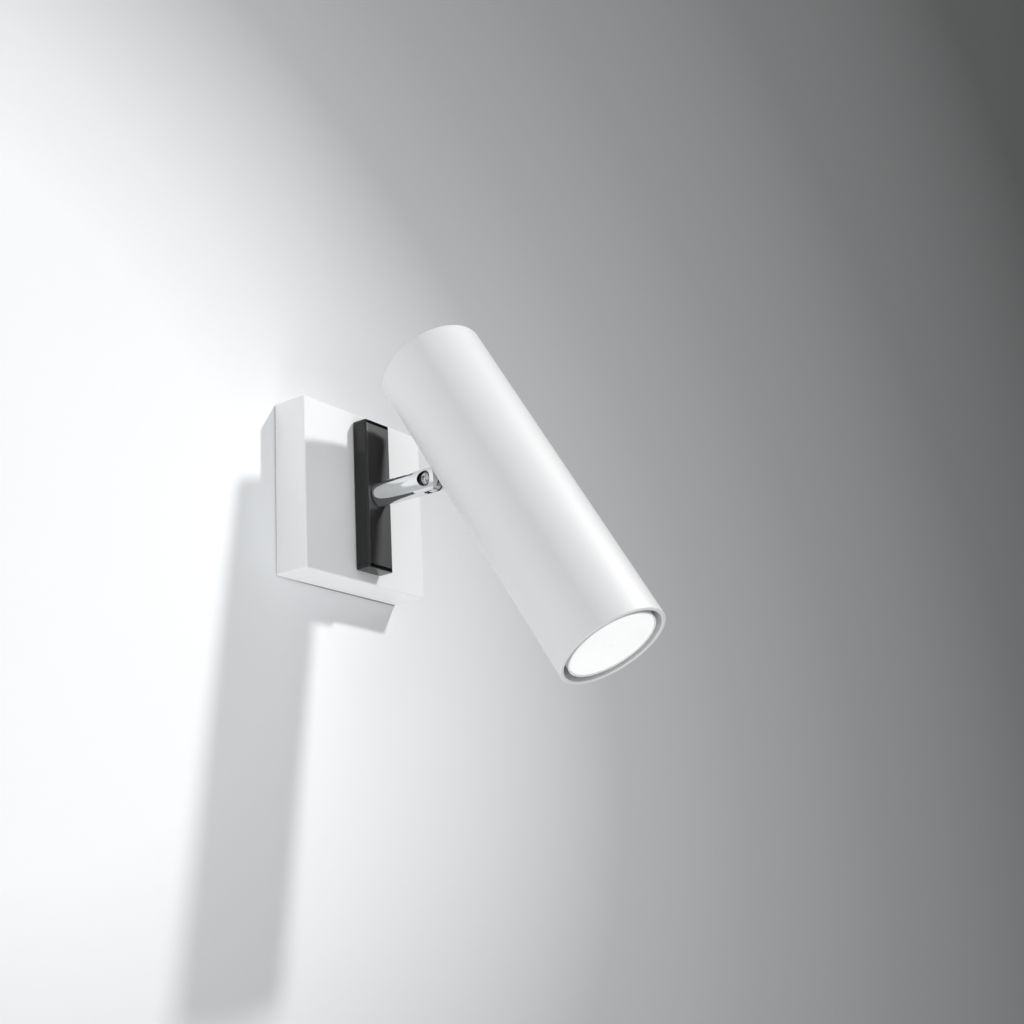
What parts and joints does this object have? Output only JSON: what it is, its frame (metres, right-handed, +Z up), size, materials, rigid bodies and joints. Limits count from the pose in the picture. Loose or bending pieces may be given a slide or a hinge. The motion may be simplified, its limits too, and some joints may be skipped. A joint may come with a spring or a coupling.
{
  "type": "pivoting spotlight wall light",
  "caption": "Tubular spotlight on a turning, tilting knuckle joint, carried by a bar on a square wall box, with a twist-lock lamp in its mouth.",
  "frame": {"origin": "centre of the wall box on the wall surface, on the axis that the knuckle joint's barrel turns about", "axes": "+Y goes into the wall, so the light stands on the -Y side; +X goes right along the wall, seen from the room; +Z is up"},
  "size_m": [0.098, 0.1988, 0.203],
  "materials": {
    "zinc_steel": "satin",
    "screw_steel": "polished",
    "white_paint": "satin",
    "white_tube_paint": "satin",
    "black_enamel": "gloss",
    "black_plastic": "gloss",
    "chrome": "polished",
    "brass": "satin",
    "black_rubber": "matte",
    "white_nylon": "matte",
    "ceramic": "gloss",
    "lamp_shell": "satin",
    "frosted_lens": "satin",
    "white_board": "satin"
  },
  "bodies": {
    "root": {"mounting_plate": "zinc_steel", "canopy": "white_paint", "canopy_screws": "screw_steel", "cable_bush": "black_rubber", "terminal_block": "white_nylon", "terminal_sleeves": "brass", "terminal_screws": "screw_steel", "terminal_fixing_screw": "screw_steel", "earth_screw": "brass", "earth_washer": "brass", "bar_body": "black_enamel", "bar_cap_top": "black_plastic", "bar_cap_bottom": "black_plastic", "bar_screws": "screw_steel", "stop_pin": "screw_steel", "friction_washer": "white_nylon"},
    "stem": {"joint_stem": "chrome", "stop_washer": "zinc_steel", "spring_washer": "zinc_steel", "stem_nut": "zinc_steel", "pivot_screw": "screw_steel", "pivot_washers": "black_rubber"},
    "head": {"joint_tongue": "chrome", "lamp_tube": "white_tube_paint", "stud_washer": "zinc_steel", "stud_nut": "zinc_steel", "holder_bracket": "zinc_steel", "holder_screws": "screw_steel", "lamp_holder": "ceramic", "holder_contacts": "brass"},
    "lamp": {"lamp_housing": "lamp_shell", "lamp_lens": "frosted_lens", "led_board": "white_board", "lamp_pins": "screw_steel"}
  },
  "joints": [
    {"name": "head_pan", "type": "hinge", "parent": "root", "child": "stem", "pos_m": [0, -0.032, 0], "axis": [0, -1, 0], "range_deg": [-169, 161]},
    {"name": "head_tilt", "type": "hinge", "parent": "stem", "child": "head", "pos_m": [0, -0.069, 0], "axis": [-0.9976, 0, -0.0698], "range_deg": [-59, 21]},
    {"name": "lamp_twist", "type": "hinge", "parent": "head", "child": "lamp", "pos_m": [0.00767, -0.17273, -0.10973], "axis": [0.061, -0.4848, -0.8725], "range_deg": [0, 25]}
  ]
}
